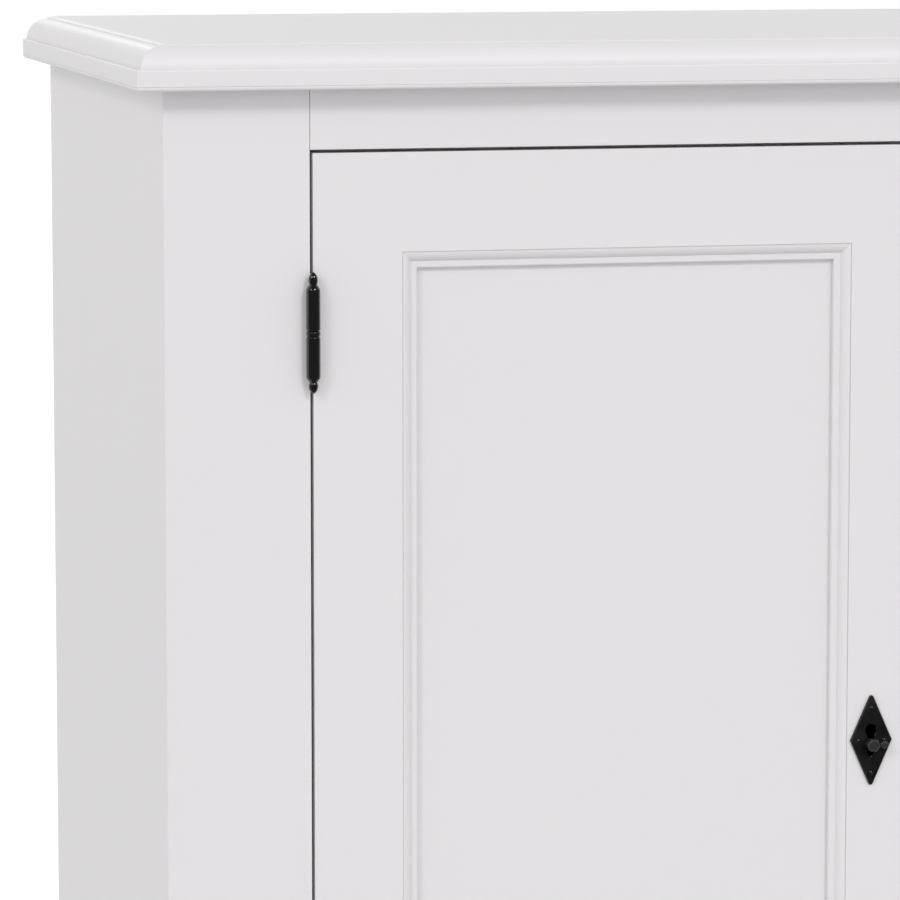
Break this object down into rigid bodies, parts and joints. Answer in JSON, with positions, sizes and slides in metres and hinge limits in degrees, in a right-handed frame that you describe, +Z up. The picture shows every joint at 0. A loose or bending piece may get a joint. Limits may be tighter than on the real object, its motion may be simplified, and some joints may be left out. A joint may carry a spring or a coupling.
{
  "type": "armoire",
  "caption": "Painted wardrobe cabinet with a moulded top, framed and panelled doors on finial hinges, a key lock, shelves and a hanging rail.",
  "frame": {"origin": "centre of the footprint of the bounding box, on the floor", "axes": "+X along the front to the right as seen by the user, -Y towards the user, +Z up"},
  "size_m": [1.303, 0.598, 1.6525],
  "materials": {
    "painted_wood": "satin white lacquer",
    "black_metal": "gloss black",
    "lock_steel": "zinc plated, dull",
    "chrome": "polished"
  },
  "bodies": {
    "carcass": {"top_board": "painted_wood", "left_post": "painted_wood", "right_post": "painted_wood", "top_rail": "painted_wood", "bottom_rail": "painted_wood", "door_stop": "painted_wood", "left_side": "painted_wood", "right_side": "painted_wood", "centre_partition": "painted_wood", "shelf_pegs": "lock_steel", "hat_shelf_cleat": "painted_wood", "bottom_board": "painted_wood", "back_panel": "painted_wood", "plinth_front": "painted_wood", "plinth_left": "painted_wood", "plinth_right": "painted_wood", "lower_shelf": "painted_wood", "middle_shelf": "painted_wood", "upper_shelf": "painted_wood", "hat_shelf": "painted_wood", "clothes_rail": "chrome", "rail_sockets": "chrome", "left_upper_hinge_post_half": "black_metal", "right_upper_hinge_post_half": "black_metal", "left_lower_hinge_post_half": "black_metal", "right_lower_hinge_post_half": "black_metal", "hinge_pins": "lock_steel", "hinge_rings": "black_metal", "post_hinge_screws": "lock_steel"},
    "left_door": {"left_door_hinge_stile": "painted_wood", "left_door_lock_stile": "painted_wood", "left_door_top_rail": "painted_wood", "left_door_bottom_rail": "painted_wood", "left_door_panel": "painted_wood", "left_panel_moulding": "painted_wood", "left_upper_hinge_door_half": "black_metal", "left_lower_hinge_door_half": "black_metal", "left_escutcheon": "black_metal", "left_escutcheon_nails": "black_metal", "lock_case": "lock_steel", "lock_cover": "lock_steel", "left_door_screws": "lock_steel"},
    "right_door": {"right_door_hinge_stile": "painted_wood", "right_door_meeting_stile": "painted_wood", "right_door_top_rail": "painted_wood", "right_door_bottom_rail": "painted_wood", "right_door_panel": "painted_wood", "right_panel_moulding": "painted_wood", "right_upper_hinge_door_half": "black_metal", "right_lower_hinge_door_half": "black_metal", "right_escutcheon": "black_metal", "right_escutcheon_nails": "black_metal", "bolt_keep": "lock_steel", "upper_bolt_plate": "lock_steel", "lower_bolt_plate": "lock_steel", "right_door_screws": "lock_steel"},
    "key": {"key": "black_metal"},
    "lock_bolt": {"lock_bolt": "lock_steel"},
    "upper_bolt": {"upper_bolt": "lock_steel"},
    "lower_bolt": {"lower_bolt": "lock_steel"}
  },
  "joints": [
    {"name": "left_door_swing", "type": "hinge", "parent": "carcass", "child": "left_door", "pos_m": [-0.5112, -0.281, 0.852], "axis": [0, 0, -1], "range_deg": [0, 170]},
    {"name": "right_door_swing", "type": "hinge", "parent": "carcass", "child": "right_door", "pos_m": [0.5112, -0.281, 0.852], "axis": [0, 0, 1], "range_deg": [0, 170]},
    {"name": "key_turn", "type": "hinge", "parent": "left_door", "child": "key", "pos_m": [-0.0525, -0.2515, 1.0832], "axis": [0, 1, 0], "range_deg": [0, 90]},
    {"name": "lock_bolt_slide", "type": "slide", "parent": "left_door", "child": "lock_bolt", "axis": [1, 0, 0], "range_m": [0, 0.01161]},
    {"name": "upper_bolt_slide", "type": "slide", "parent": "right_door", "child": "upper_bolt", "axis": [0, 0, 1], "range_m": [0, 0.014]},
    {"name": "lower_bolt_slide", "type": "slide", "parent": "right_door", "child": "lower_bolt", "axis": [0, 0, -1], "range_m": [0, 0.014]}
  ],
  "couplings": [
    {"joint": "key_turn", "follows": "lock_bolt_slide", "rad_per_m": 135.3}
  ]
}
